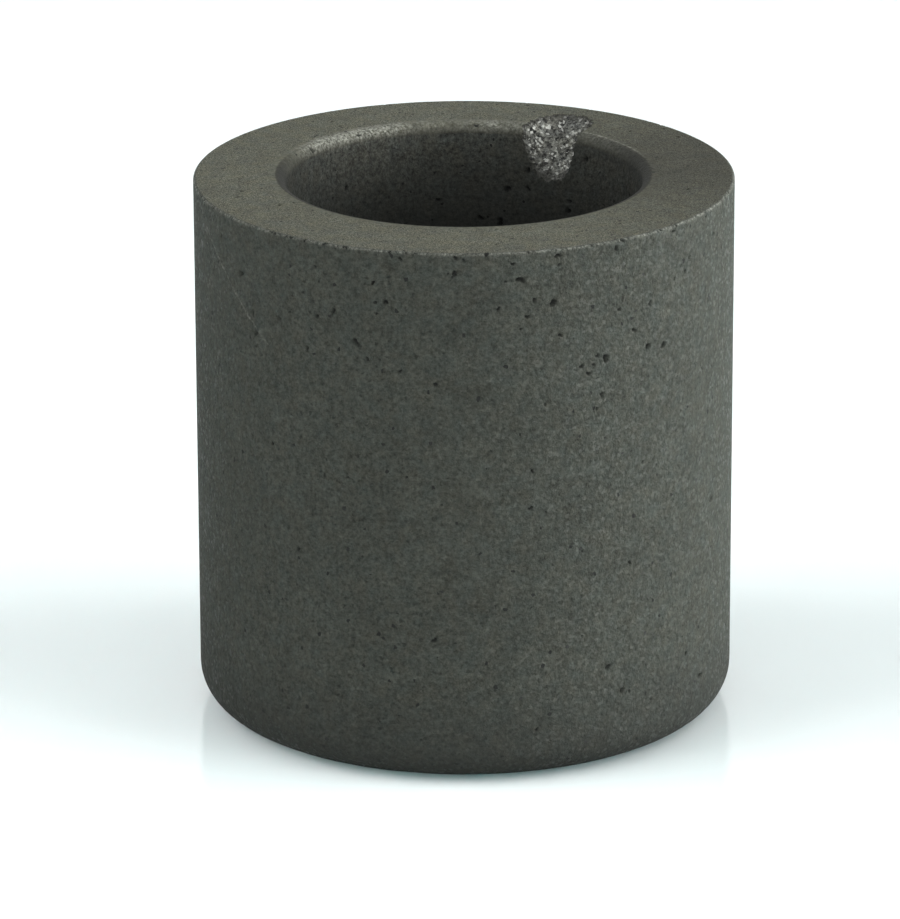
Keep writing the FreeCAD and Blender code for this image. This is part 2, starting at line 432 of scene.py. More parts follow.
class Pore:
    """An open pore or a chip: an uneven pit, pressed straight in along one direction."""

    def __init__(self, place, inward, width, depth, draw):
        self.place, self.inward = np.array(place), np.array(inward)
        self.radius, self.depth = width / 2, depth
        level = np.cross(inward, (0, 0, 1)) if abs(inward[2]) < 0.9 else np.array([1.0, 0, 0])
        self.level = level / np.linalg.norm(level)
        self.steep = np.cross(self.inward, self.level)
        # How many waves about the outline, how high and from where.
        self.waves = [(count, draw.uniform(LOWEST_WAVE, 1) * share, draw.uniform(0, 2 * math.pi))
                      for count, share in PORE_WAVES]

    def press(self, points):
        """How deep each point goes in, and that as a share of the pore's depth."""
        away = points - self.place
        x, y = away @ self.level, away @ self.steep
        turn = np.arctan2(y, x)
        reach = self.radius * (1 + sum(share * np.cos(count * turn + start)
                                       for count, share, start in self.waves))
        reach = np.maximum(reach, NARROWEST_PORE * self.radius)
        near = np.abs(away @ self.inward) < PORE_BAND * self.radius
        share = np.where(near, np.clip(PORE_STEEPNESS * (1 - np.hypot(x, y) / reach), 0, 1), 0)
        share = share * share * (3 - 2 * share)
        return share * self.depth, share


# The larger pores of the outside wall: bearing in degrees, height and width in millimetres.
LARGE_PORES = [
    (216, 45.8, 0.7), (220, 42.5, 0.5), (228, 42.8, 0.5), (221, 40.7, 0.6), (238, 43.8, 0.5),
    (242, 44.6, 0.5), (235.5, 40.5, 0.5), (247, 42, 0.6), (251, 47.7, 0.4), (268, 48.9, 0.6),
    (277, 45.6, 0.4), (281.5, 48.2, 0.7), (283, 44.7, 0.45), (284.5, 46.2, 0.5), (288.5, 45.8, 0.7),
    (290, 42.7, 0.4), (296.5, 38.7, 0.5), (300.5, 39.9, 0.7), (303, 50, 0.5), (289.5, 50.15, 0.55),
    (312, 44.1, 0.5), (311.5, 40.1, 0.65), (316, 39.8, 0.6), (305, 7.6, 0.5), (307, 7.3, 0.35),
    (301.5, 10.2, 0.6), (330.5, 5.9, 0.65),
]
# The larger pores of the cavity's wall, likewise.
LARGE_CAVITY_PORES = [
    (68.5, 46.4, 0.6), (75.5, 44.4, 0.7), (68.5, 44.6, 0.5), (46, 48.5, 0.7), (53, 44, 0.5),
    (53.5, 43, 0.7), (84.5, 41.4, 0.6), (78, 41, 0.8),
]
# The larger pores of the rim, likewise with the distance from the axis in place of the height.
LARGE_RIM_PORES = [
    (210, 19.4, 0.6), (199, 21.9, 0.6), (194.5, 21.1, 0.45), (210, 17.9, 0.4), (227, 18, 0.4),
    (126, 20, 0.35),
]
# The larger chips of the rim's outer edge: bearing in degrees, width in millimetres.
LARGE_CHIPS = [(227, 0.35), (231.5, 0.4), (235, 0.4), (245, 0.35), (274.5, 0.4)]
# The nicks in the mouth's round, likewise.
MOUTH_NICKS = [(148, 0.8), (126, 0.45), (86, 0.5), (66.5, 0.8)]
# How deep each kind of pit is, as a share of its width.
WALL_PORE_DEPTH = 0.75
RIM_PORE_DEPTH = 0.6
CHIP_DEPTH = 0.5
# The widths that the scattered pits are drawn from: narrowest, widest and commonest, in millimetres.
OUTSIDE_PORE_WIDTHS = (0.2, 0.55, 0.24)
CAVITY_PORE_WIDTHS = (0.25, 0.7, 0.35)
EDGE_CHIP_WIDTHS = (0.2, 0.5, 0.25)
# The scattered pores of the rim: narrowest and widest in millimetres, all equally deep.
RIM_PORE_WIDTHS = (0.25, 0.45)
SCATTERED_RIM_PORE_DEPTH = 0.2 * MM
# How the scattered pores crowd towards the top of each wall: 1 is evenly, more is closer.
OUTSIDE_CROWDING = 1.7
CAVITY_CROWDING = 1.3
# How far the outside's scattered pores stay under the rim.
PORE_MARGIN = 0.4 * MM
# How pale the mouth's round is, by bearing in degrees: most at the back, not at all in front.
MOUTH_PALENESS = [(20, 0), (40, 0.3), (55, 0.2), (70, 0.3), (80, 0.6), (90, 0.2), (105, 0.3), (115, 1.0),
              (140, 1.0), (152, 0.5), (160, 0)]
# How far that paleness spreads out over the rim, and over what share of the round it fades towards the
# bore.
PALENESS_SPREAD = 0.6 * MM
PALENESS_FADE = 0.6
# How deep the burr cut where the graphite is freshly torn; towards its lips the notch is dusty.
FRESH_DEPTH = 1.2 * MM
# How far the rim takes the cavity's darker colour, by bearing in degrees: most on the side towards the
# pouring notch.
RIM_DARKENING = [(0, 0.7), (30, 0.6), (50, 0.25), (80, 0), (300, 0), (330, 0.3), (360, 0.7)]
# Painted shade over the whole of the mouth's round, likewise: the cavity's colour at the sides, the
# front and beside the notch, where shade falls on the real, tighter round; none at the back, where it is
# pale.
MOUTH_PAINTED_SHADE = [(0, 1), (20, 0.95), (50, 0.6), (65, 0.2), (85, 0), (150, 0), (165, 0.6), (178, 1),
              (360, 1)]
# The painted shade on the mouth's round begins over this share of its width.
ROUND_PAINTED_SHADE_EDGE = 0.08
# The mouth's rubbed outer corner, a dotted line beside the notch: how far it is rubbed, likewise, and
# how far to each side.
CORNER_WEAR = [(15, 0), (28, 0.6), (45, 0.9), (55, 0.3), (62, 0), (70, 0.1), (80, 0.5), (90, 0.1),
               (120, 0)]
CORNER_WIDTH = 0.15 * MM
# How dark the painted shade is at the mouth, where its round is shaded, over what share of the round
# that grows, and how far down the bore it reaches.
MOUTH_PAINTED_DARKNESS = 0.7
PAINTED_DARKNESS_EDGE = 0.3
PAINTED_DARKNESS_REACH = 3 * MM
# How dark the painted shade gets down the bore, and how far down it is full.
BORE_PAINTED_SHADE = 0.8
BORE_PAINTED_SHADE_REACH = 12 * MM
# How dark the painted shade is at the foot of the outside wall, which gets little light back off the
# floor, and how far up that reaches.
FOOT_PAINTED_SHADE = 0.7
FOOT_PAINTED_SHADE_REACH = 10 * MM
# How pale the bore is under a pale mouth, and how far down that fades out.
BORE_PALENESS = 0.09
BORE_PALENESS_REACH = 6 * MM
# How far the rim's broken outer edge is rubbed, and how far to each side, as a share of its width.
EDGE_WEAR = 0.5
EDGE_WEAR_REACH = 0.6
# A handling scratch down the outside wall: bearing in degrees and height in millimetres of its points,
# how far to each side it is rubbed, and how strongly.
SCRATCH = [(200, 48.5), (206.5, 46.4), (214.5, 43.6), (219, 42), (224.5, 40.1)]
SCRATCH_REACH = 0.1 * MM
SCRATCH_WEAR = 0.3


def scatter_pores(sizes, finish, surface):
    """Every pore, chip and nick, the large ones listed and the rest at random."""
    draw = random.Random(finish.seed)
    profile = surface.profile

    def on_wall(bearing, level, width, outside=True):
        radius = sizes.outer_radius if outside else sizes.bore_radius
        middle = 0 if outside else sizes.bore_offset
        outward = np.array([math.cos(bearing), math.sin(bearing), 0])
        place = outward * radius + np.array([0, middle, level])
        inward = -outward if outside else outward
        return Pore(place, inward, width, WALL_PORE_DEPTH * width, draw)

    def on_rim(bearing, radius, width):
        place = (radius * math.cos(bearing), radius * math.sin(bearing), sizes.height)
        return Pore(place, (0, 0, -1), width, RIM_PORE_DEPTH * width, draw)

    def on_edge(bearing, width, mouth=False):
        outward = np.array([math.cos(bearing), math.sin(bearing), 0])
        up = np.array([0.0, 0, 1])
        name = "mouth" if mouth else "edge"
        along = np.array([sum(profile.span[name]) / 2])
        place = profile.place(np.array([bearing]), along)[0]
        inward = (outward if mouth else -outward) - up
        return Pore(place, inward / math.sqrt(2), width, CHIP_DEPTH * width, draw)

    pores = [on_wall(math.radians(b), z * MM, w * MM) for b, z, w in LARGE_PORES]
    pores += [on_wall(math.radians(b), z * MM, w * MM, outside=False) for b, z, w in LARGE_CAVITY_PORES]
    pores += [on_rim(math.radians(b), r * MM, w * MM) for b, r, w in LARGE_RIM_PORES]
    pores += [on_edge(math.radians(b), w * MM) for b, w in LARGE_CHIPS]
    pores += [on_edge(math.radians(b), w * MM, mouth=True) for b, w in MOUTH_NICKS]

    low, high = sizes.base_round, sizes.height
    for _ in range(finish.outside_pores):
        level = high - (high - low) * draw.random() ** OUTSIDE_CROWDING
        width = draw.triangular(*OUTSIDE_PORE_WIDTHS) * MM
        pores.append(on_wall(draw.uniform(0, 2 * math.pi), level - PORE_MARGIN, width))
    low, high = sizes.floor_thickness + sizes.floor_round, sizes.height - sizes.mouth_round
    for _ in range(finish.cavity_pores):
        level = high - (high - low) * draw.random() ** CAVITY_CROWDING
        width = draw.triangular(*CAVITY_PORE_WIDTHS) * MM
        pores.append(on_wall(draw.uniform(0, 2 * math.pi), level, width, outside=False))
    for _ in range(finish.rim_pores):
        bearing = draw.uniform(0, 2 * math.pi)
        along = np.array([draw.uniform(*profile.span["rim"])])
        place = profile.place(np.array([bearing]), along)[0]
        width = draw.uniform(*RIM_PORE_WIDTHS) * MM
        pores.append(Pore(place, (0, 0, -1), width, SCATTERED_RIM_PORE_DEPTH, draw))
    for _ in range(finish.edge_chips):
        pores.append(on_edge(draw.uniform(0, 2 * math.pi), draw.triangular(*EDGE_CHIP_WIDTHS) * MM))
    return pores


def scratch_points(sizes):
    """The scratch's points on the outside wall."""
    bearing, level = (np.array(values) for values in zip(*SCRATCH))
    bearing = np.radians(bearing)
    return np.column_stack([
        sizes.outer_radius * np.cos(bearing), sizes.outer_radius * np.sin(bearing), level * MM])


def distance_to_line(points, line):
    """How far each point is from a line of straight runs."""
    nearest = np.full(len(points), np.inf)
    for start, end in zip(line, line[1:]):
        run = end - start
        share = np.clip((points - start) @ run / (run @ run), 0, 1)
        nearest = np.minimum(nearest, np.linalg.norm(points - start - share[:, None] * run, axis=1))
    return nearest


# How long the edges of the triangles may be on each stretch of the profile, in millimetres.
PLAIN_EDGES = {
    "base": 2.6, "foot": 1.2, "outside": 1.25, "edge": 0.34, "rim": 1.4, "mouth": 0.28, "bore": 1.3,
    "corner": 1.4, "floor": 2.2,
}
# The same in the notch and along the scratch, and how much it grows per distance from the fine places.
NOTCH_EDGE = 0.17 * MM
SCRATCH_EDGE = 0.2 * MM
GROWTH = 0.5
NOTCH_GROWTH = 0.6
PORE_GROWTH = 0.8
# The same in a pore: a share of its radius, between a finest and a coarsest. It starts to grow at this
# many radii from the pore's middle.
PORE_EDGE = 0.6
FINEST_PORE_EDGE, COARSEST_PORE_EDGE = 0.11 * MM, 0.18 * MM
PORE_SURROUND = 1.2
# No edge shorter than this is cut, measured before the burr's cut.
SHORTEST_EDGE = 0.07 * MM
# How many edges are measured against the pores at once.
BATCH = 20000


def triangle_size(surface, pores, scratch):
    """How long an edge may be at each point: short at edges, pores and the notch, long elsewhere."""
    profile, burr = surface.profile, surface.burr
    places = np.array([pore.place for pore in pores])
    radii = np.array([pore.radius for pore in pores])
    cells = np.clip(radii * PORE_EDGE, FINEST_PORE_EDGE, COARSEST_PORE_EDGE)

    def wanted(points, along, length):
        size = np.full(len(points), np.inf)
        for name, value in PLAIN_EDGES.items():
            size = np.where(profile.within(along, name), np.minimum(size, value * MM), size)
        for name in ("edge", "mouth"):
            low, high = profile.span[name]
            gap = np.maximum(np.maximum(low - along, along - high), 0)
            size = np.minimum(size, PLAIN_EDGES[name] * MM + GROWTH * gap)
        from_foot = points - burr.foot
        reach = from_foot @ burr.axis
        radius = burr.foot_radius + reach * burr.widening
        from_axis = np.linalg.norm(from_foot - reach[:, None] * burr.axis, axis=1)
        gap = np.abs(from_axis - radius)
        size = np.where(burr.reaches(reach), np.minimum(size, NOTCH_EDGE + NOTCH_GROWTH * gap), size)
        size = np.minimum(size, SCRATCH_EDGE + GROWTH * distance_to_line(points, scratch))

        # Only edges that are still longer than the finest pore needs are measured against the pores.
        open_edges = np.flatnonzero(length > cells.min())
        for batch in np.array_split(open_edges, 1 + len(open_edges) // BATCH):
            square = (points[batch] ** 2).sum(axis=1)[:, None] + (places ** 2).sum(axis=1)
            gap = np.sqrt(np.maximum(square - 2 * points[batch] @ places.T, 0))
            fine = cells + PORE_GROWTH * np.maximum(gap - PORE_SURROUND * radii, 0)
            size[batch] = np.minimum(size[batch], fine.min(axis=1))
        return size

    return wanted


def corner_normals(points, faces):
    """The smooth outward direction at each corner."""
    first, second, third = (points[faces[:, corner]] for corner in range(3))
    normal = np.cross(second - first, third - first)
    total = np.zeros_like(points)
    for corner in range(3):
        np.add.at(total, faces[:, corner], normal)
    return total / np.linalg.norm(total, axis=1, keepdims=True)


def by_bearing(surface, stops):
    """A value at each corner, from a list of bearings in degrees and the value at each."""
    bearing, value = zip(*stops)
    return np.interp(np.degrees(surface.bearing) % 360, bearing, value)


def mouth_paleness(surface):
    """How pale each corner is at the mouth."""
    low, high = surface.profile.span["mouth"]
    rise = np.clip((surface.along - low + PALENESS_SPREAD) / PALENESS_SPREAD, 0, 1)
    fall = np.clip((high - surface.along) / (PALENESS_FADE * (high - low)), 0, 1)
    below = BORE_PALENESS * np.clip(1 - (surface.along - high) / BORE_PALENESS_REACH, 0, 1)
    at_corner = np.clip(1 - np.abs(surface.along - low) / CORNER_WIDTH, 0, 1)
    corner = at_corner * by_bearing(surface, CORNER_WEAR)
    return np.maximum(by_bearing(surface, MOUTH_PALENESS) * rise * np.maximum(fall, below), corner)


def bore_colour_and_painted_shade(surface):
    """How far each corner of the rim and the mouth's round takes the cavity's colour: down the round
    towards the bore, as painted shade across the round at the sides and front, and darker on the rim
    towards the notch.
    """
    low, high = surface.profile.span["mouth"]
    inside = np.clip((surface.along - low) / (high - low), 0, 1)
    # Painted shade across the mouth's round, by bearing.
    round_painted_shade = np.clip(inside / ROUND_PAINTED_SHADE_EDGE, 0, 1) * by_bearing(surface, MOUTH_PAINTED_SHADE)
    return np.maximum.reduce([inside, round_painted_shade, by_bearing(surface, RIM_DARKENING)])


def grime(surface):
    """How far each corner is darkened with painted shade: at the mouth, down the bore and at the foot of
    the wall.
    """
    low, high = surface.profile.span["mouth"]
    rise = np.clip((surface.along - low) / (PAINTED_DARKNESS_EDGE * (high - low)), 0, 1)
    fall = np.clip(1 - (surface.along - high) / PAINTED_DARKNESS_REACH, 0, 1)
    mouth = MOUTH_PAINTED_DARKNESS * by_bearing(surface, MOUTH_PAINTED_SHADE) ** 2 * rise * fall
    bore = BORE_PAINTED_SHADE * np.clip((surface.along - high) / BORE_PAINTED_SHADE_REACH, 0, 1)
    height = surface.profile.place(surface.bearing, surface.along)[:, 2]
    foot = FOOT_PAINTED_SHADE * np.clip(1 - height / FOOT_PAINTED_SHADE_REACH, 0, 1) * (surface.along < low)
    return np.maximum.reduce([mouth, bore, foot])


# The order of the crucible's materials.
TURNED, FACED, BORED, RUBBED, GROUND = range(5)


def crucible_mesh(sizes, finish):
    """The whole skin of the crucible, with its pores, chips and torn grains as real shape."""
    surface = Surface(Profile(sizes), Burr(sizes))
    pores = scatter_pores(sizes, finish, surface)
    scratch = scratch_points(sizes)
    surface.refine(triangle_size(surface, pores, scratch), shortest=SHORTEST_EDGE)
    uncut = surface.profile.place(surface.bearing, surface.along)
    points, ground = surface.burr.cut(uncut)
    normals = corner_normals(points, surface.faces)
    fresh = np.clip(np.linalg.norm(points - uncut, axis=1) / FRESH_DEPTH, 0, 1)

    paleness = mouth_paleness(surface)
    generator = np.random.default_rng(finish.seed)
    torn = generator.random(len(points))
    tear = np.where(ground, finish.notch_roughness, finish.mouth_roughness * paleness) * torn
    pressed = points - normals * tear[:, None]
    pored = np.zeros(len(points))
    for pore in pores:
        depth, share = pore.press(points)
        pressed += depth[:, None] * pore.inward
        pored = np.maximum(pored, share)

    # Nothing stands proud of the turned block.
    pressed = np.clip(pressed, BLOCK_LOW, BLOCK_HIGH)

    mesh = bpy.data.meshes.new("crucible_skin")
    mesh.from_pydata(pressed.tolist(), [], surface.faces.tolist())
    middle_along = surface.along[surface.faces].mean(axis=1)
    is_ground = ground[surface.faces].sum(axis=1) >= 2  # of a triangle's three corners
    within = surface.profile.within
    mouth_low, mouth_high = surface.profile.span["mouth"]
    is_mouth = (middle_along > mouth_low - PALENESS_SPREAD) & (middle_along < mouth_high)
    is_rim = within(middle_along, "rim")
    is_cavity = within(middle_along, "bore", "corner", "floor")
    material = np.select(
        [is_ground, is_mouth, is_rim, is_cavity], [GROUND, RUBBED, FACED, BORED], TURNED)
    mesh.polygons.foreach_set("material_index", material.astype(np.int32))
    mesh.polygons.foreach_set("use_smooth", ~is_ground)

    low, high = surface.profile.span["edge"]
    from_edge = np.abs(surface.along - (low + high) / 2) / (EDGE_WEAR_REACH * (high - low))
    scratched = SCRATCH_WEAR * (distance_to_line(points, scratch) < SCRATCH_REACH)
    rubbed = np.maximum.reduce([EDGE_WEAR * (1 - from_edge), paleness, scratched])
    # To the mesh: the pores' pits, the pale marks, the cavity's colour with its painted shade, the
    # painted shade of mouth, bore and foot, and the fresh cut.
    for name, values in (
            ("pore", pored), ("rubbed", rubbed), ("sooty", bore_colour_and_painted_shade(surface)), ("grime", grime(surface)),
            ("fresh", fresh)):
        attribute = mesh.attributes.new(name, "FLOAT", "POINT")
        attribute.data.foreach_set("value", values.astype(np.float32))
    mesh.update()
    return mesh


# ---------------------------------------------------------------- materials


def add(tree, kind, inputs=None, **settings):
    """Adds a shader node with its settings.

    Each input, by its name or number, is given a value, or linked to a node's first output in use or to
    one output of its own.
    """
    node = tree.nodes.new("ShaderNode" + kind)
    for name, value in settings.items():
        setattr(node, name, value)
    for name, value in (inputs or {}).items():
        in_use = [socket for socket in node.inputs if socket.enabled]
        socket = in_use[name] if isinstance(name, int) else next(s for s in in_use if s.name == name)
        if isinstance(value, bpy.types.Node):
            value = next(output for output in value.outputs if output.enabled)
        if isinstance(value, bpy.types.NodeSocket):
            tree.links.new(value, socket)
        else:
            socket.default_value = value
    return node


def empty_material(name):
    """A material whose tree holds nothing yet."""
    material = bpy.data.materials.new(name)
    material.use_nodes = True
    material.node_tree.nodes.clear()
    return material, material.node_tree


def seen_straight(tree):
    """Whether the camera, a mirror or glass sees the surface. Otherwise it throws light on something."""
    rays = add(tree, "LightPath")
    seen = add(tree, "Math", {
        0: rays.outputs["Is Camera Ray"], 1: rays.outputs["Is Transmission Ray"]}, operation="MAXIMUM")
    return add(tree, "Math", {0: seen, 1: rays.outputs["Is Glossy Ray"]}, operation="MAXIMUM")


# Nearly all of the noise pattern's values lie between these two.
NOISE_LOW, NOISE_HIGH = 0.3, 0.7


def drift(tree, place, size, low, high, detail=2.0, roughness=0.7):
    """A value that drifts smoothly between low and high over about `size` millimetres."""
    noise = add(tree, "TexNoise", {
        "Vector": place, "Scale": 1 / (size * MM), "Detail": detail, "Roughness": roughness})
    return add(tree, "MapRange", {
        "Value": noise, "From Min": NOISE_LOW, "From Max": NOISE_HIGH, "To Min": low, "To Max": high},
        clamp=False)


# How smooth a flake of graphite is that lies askew and catches the light.
FLAKE_ROUGHNESS = 0.55
# The darkest that a clump of grains may get, as a share of its colour.
DARKEST_CLUMP = 0.12
# The width of the fine specks in a rubbed edge, in millimetres, and how pale it is between and in them:
# below 0 is not at all, above 1 is fully.
RUBBED_SPECK = 0.25
BETWEEN_SPECKS, IN_SPECKS = -0.3, 1.5
# How wide the drift between cool and warm is, and the grit of the surface, in millimetres.
COLOUR_DRIFT = 1.6
GRIT = 0.4
# The patches of lighter and darker graphite: width in millimetres, how far their shade strays from the
# plain one, and how ragged they are.
PATCHES = ((2.2, 0.08, 1.0), (6.0, 0.07, 4.0))
# Half of each channel of a flake's random colour, which makes it a direction either way.
HALF = (0.5, 0.5, 0.5)


def graphite(name, cool, warm, colours, grain=0.45, contrast=0.45, flake=0.22, painted_glint_share=0.0,
             pinhole_share=0.003, roughness=0.8, specular=0.15, glint=0.4, relief=0.05, bore_colour_and_painted_shade=None,
             dust=None, pit=None):
    """Fine-grained graphite: a sintered body of grey grains with glinting flakes and dark pinholes.

    The colour drifts between a cool and a warm grey. `grain` is the width of a clump of grains, `flake`
    that of a flake and `relief` the height of the grit, in millimetres. One grain is 5 to 15
    micrometres, too fine to show, so they are drawn as wide as they need to be seen. `glint` is the
    share of flakes that lie askew and catch a low light; a further share is painted bright, as painted
    glints. Towards the cavity the surface turns to the cavity's darker colour, which also lays painted
    shade across the mouth's round; where the mesh marks it pale (rubbed edges, the scratch, the mouth's
    round) it is speckled pale, and where it isn't freshly torn it is dusted over with the `dust` colour.
    Painted shade darkens it at the mouth, down the bore and at the foot, and the pores and pinholes are
    painted as dark as the `pit` colour, as painted shade.
    """
    material, tree = empty_material(name)
    place = add(tree, "TexCoord").outputs["Object"]

    # Each flake draws three chances: to lie askew, to be painted as a bright glint, and to be a pinhole.
    flakes = add(tree, "TexVoronoi", {"Vector": place, "Scale": 1 / (flake * MM)}).outputs["Color"]
    chance = add(tree, "SeparateColor", {"Color": flakes})
    is_askew, is_painted_glint, is_pinhole = (
        add(tree, "Math", {0: chance.outputs[channel], 1: 1 - share}, operation="GREATER_THAN")
        for channel, share in (("Red", glint), ("Green", painted_glint_share), ("Blue", pinhole_share)))

    sooty, rubbed, fresh, in_painted_shade, in_pore = (
        add(tree, "Attribute", attribute_name=name).outputs["Fac"]
        for name in ("sooty", "rubbed", "fresh", "grime", "pore"))

    surface = add(tree, "Mix", {
        "Factor": drift(tree, place, COLOUR_DRIFT, 0.0, 1.0), "A": cool, "B": warm}, data_type="RGBA")
    # The cavity's colour: the bore's own tone down the mouth's round, painted shade across the round at
    # the sides and front, and a darker rim towards the notch.
    if bore_colour_and_painted_shade:
        surface = add(tree, "Mix", {"Factor": sooty, "A": surface, "B": bore_colour_and_painted_shade}, data_type="RGBA")
    specks = drift(tree, place, RUBBED_SPECK, BETWEEN_SPECKS, IN_SPECKS)
    worn = add(tree, "Math", {0: rubbed, 1: specks}, operation="MULTIPLY", use_clamp=True)
    surface = add(tree, "Mix", {"Factor": worn, "A": surface, "B": colours.rubbed}, data_type="RGBA")

    clumps = drift(tree, place, grain, 1 - contrast, 1 + contrast, detail=3.0, roughness=0.85)
    shade = add(tree, "Math", {0: clumps, 1: DARKEST_CLUMP}, operation="MAXIMUM")
    for size, spread, detail in PATCHES:
        patches = drift(tree, place, size, 1 - spread, 1 + spread, detail=detail)
        shade = add(tree, "Math", {0: shade, 1: patches}, operation="MULTIPLY")
    surface = add(tree, "VectorMath", {"Vector": surface, "Scale": shade}, operation="SCALE")
    # Painted glints: bright flecks standing for flakes that catch the light.
    surface = add(tree, "Mix", {"Factor": is_painted_glint, "A": surface, "B": colours.painted_glint}, data_type="RGBA")
    if dust:
        surface = add(tree, "Mix", {"Factor": fresh, "A": dust, "B": surface}, data_type="RGBA")
    # Painted shade: darker at the mouth, down the bore and at the foot of the wall.
    surface = add(tree, "Mix", {"Factor": in_painted_shade, "A": surface, "B": colours.grime}, data_type="RGBA")
    # Painted shade: the pores' pits and the pinholes darkened to the pit colour.
    pitted = add(tree, "Math", {0: is_pinhole, 1: in_pore}, operation="MAXIMUM")
    pit = pit or colours.pore
    surface = add(tree, "Mix", {"Factor": pitted, "A": surface, "B": pit}, data_type="RGBA")

    grit = drift(tree, place, GRIT, 0.0, 1.0, detail=3.0)
    height = add(tree, "Math", {0: grit, 1: is_pinhole}, operation="SUBTRACT")
    bump = add(tree, "Bump", {"Height": height, "Distance": relief * MM, "Strength": 1.0})
    askew = add(tree, "VectorMath", {0: flakes, 1: HALF}, operation="SUBTRACT")
    tilt = add(tree, "VectorMath", {"Vector": askew, "Scale": is_askew}, operation="SCALE")
    facing = add(tree, "VectorMath", {0: bump, 1: tilt}, operation="ADD")
    facing = add(tree, "VectorMath", {"Vector": facing}, operation="NORMALIZE")
    gloss = add(tree, "MapRange", {"Value": is_askew, "To Min": roughness, "To Max": FLAKE_ROUGHNESS})
    shader = add(tree, "BsdfPrincipled", {
        "Base Color": surface, "Roughness": gloss, "IOR": 1.5, "Specular IOR Level": specular,
        "Normal": facing})
    add(tree, "OutputMaterial", {"Surface": shader})
    return material


def turned_graphite(colours):
    """Fine graphite, turned dry: matt dark grey with a faint green cast and a speckle of open pores."""
    return graphite("turned_graphite", colours.turned_cool, colours.turned_warm, colours, contrast=0.5,
                    flake=0.3, pinhole_share=0.004, specular=0.12, glint=0.25, relief=0.12)


def faced_graphite(colours):
    """Fine graphite, faced with a wide tool: smoother and a little warmer than the turned wall."""
    return graphite("faced_graphite", colours.faced_cool, colours.faced_warm, colours,
                    bore_colour_and_painted_shade=colours.bored_warm, grain=0.12, contrast=1.4, glint=0.0, relief=0.03)


def bored_graphite(colours):
    """Fine graphite, bored: the turned wall's grey, rougher and duller where the tool left dust."""
    return graphite("bored_graphite", colours.bored_cool, colours.bored_warm, colours, contrast=0.8,
                    glint=0.0, relief=0.1, pit=colours.cavity_pit_shade)


def rubbed_graphite(colours):
    """Fine graphite, its edge rounded by hand between the rim and the bore: pale at the back, with
    painted shade at the sides and front.
    """
    return graphite("rubbed_graphite", colours.faced_cool, colours.faced_warm, colours,
                    bore_colour_and_painted_shade=colours.bored_warm, glint=0.0)


def ground_graphite(colours):
    """Fine graphite, torn open by a burr: bright flat flakes between dark gaps, which glint. Some glints
    are painted bright, and the pinholes are painted shade.
    """
    return graphite("ground_graphite", colours.ground_cool, colours.ground_warm, colours, grain=0.55,
                    contrast=1.6, flake=0.25, painted_glint_share=0.12, pinhole_share=0.05, roughness=0.6,
                    specular=0.4, glint=0.25, relief=0.08, dust=colours.bored_warm)


# How far light scatters through the opal sheet, and each colour's share of that.
SCATTER_REACH = 9 * MM
SCATTER_SHARES = (0.78, 1.0, 1.0)


def opal_acrylic(studio):
    """Opal acrylic sheet, cast: cool white with a soft glossy skin, which mirrors the crucible's foot.

    Light scatters a few millimetres through the sheet and in under the foot, blue and green the
    farthest. The sheet looks white, but throws less light than that on the crucible.
    """
    material, tree = empty_material("opal_acrylic")
    seen = seen_straight(tree)
    sheet = add(tree, "Mix", {"Factor": seen, "A": studio.floor_bounce, "B": studio.floor_colour},
                data_type="RGBA")
    shader = add(tree, "BsdfPrincipled", {
        "Base Color": sheet, "Roughness": 0.12, "IOR": 1.49, "Subsurface Weight": 1.0,
        "Subsurface Scale": SCATTER_REACH, "Subsurface Radius": SCATTER_SHARES},
        subsurface_method="BURLEY")
    add(tree, "OutputMaterial", {"Surface": shader})
    return material


# ---------------------------------------------------------------- operators


class TurnCrucible(bpy.types.Operator):
    """Make the graphite crucible with its pores, chips and ground pouring notch"""

    bl_idname = "crucible.turn"
    bl_label = "Crucible"

    def execute(self, context):
        scene = context.scene
        mesh = crucible_mesh(scene.crucible_sizes, scene.crucible_finish)
        for graphite_finish in (  # in the order of TURNED, FACED, BORED, RUBBED, GROUND
                turned_graphite, faced_graphite, bored_graphite, rubbed_graphite, ground_graphite):
            mesh.materials.append(graphite_finish(scene.crucible_colours))
        crucible = bpy.data.objects.new("crucible_graphite", mesh)
        scene.collection.objects.link(crucible)
        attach(crucible, "root")
        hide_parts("crucible")
        return {"FINISHED"}


# Where every softbox points: the crucible's axis, a little above its middle.
LAMP_AIM = Vector((0, 0, 35 * MM))
# The softboxes, each with its turn to the right from the front and its rise in degrees, its distance
# and width in metres, and its power in watts. These light the crucible: low ones round it, strongest
# from the right, where they graze the wall.
CRUCIBLE_LAMPS = (
    ("front_softbox", 0, 17, 0.75, 0.375, 3.75),
    ("left_softbox", -75, 15, 0.30, 0.15, 0.2),
    ("back_left_softbox", -125, 50, 0.30, 0.15, 0.3),
    ("right_softbox", 75, 15, 0.30, 0.15, 0.55),
    ("back_right_softbox", 100, 15, 0.30, 0.15, 0.48),
    ("low_right_softbox", 87, 5, 0.16, 0.08, 0.066),
)
# These light the floor alone, and burn it white.
FLOOR_LAMPS = (
    ("left_floor_softbox", -75, 38, 0.9, 0.7, 9.5),
    ("right_floor_softbox", 75, 38, 0.9, 0.7, 9.8),
    ("top_floor_softbox", 0, 84, 0.9, 0.9, 2.4),
)


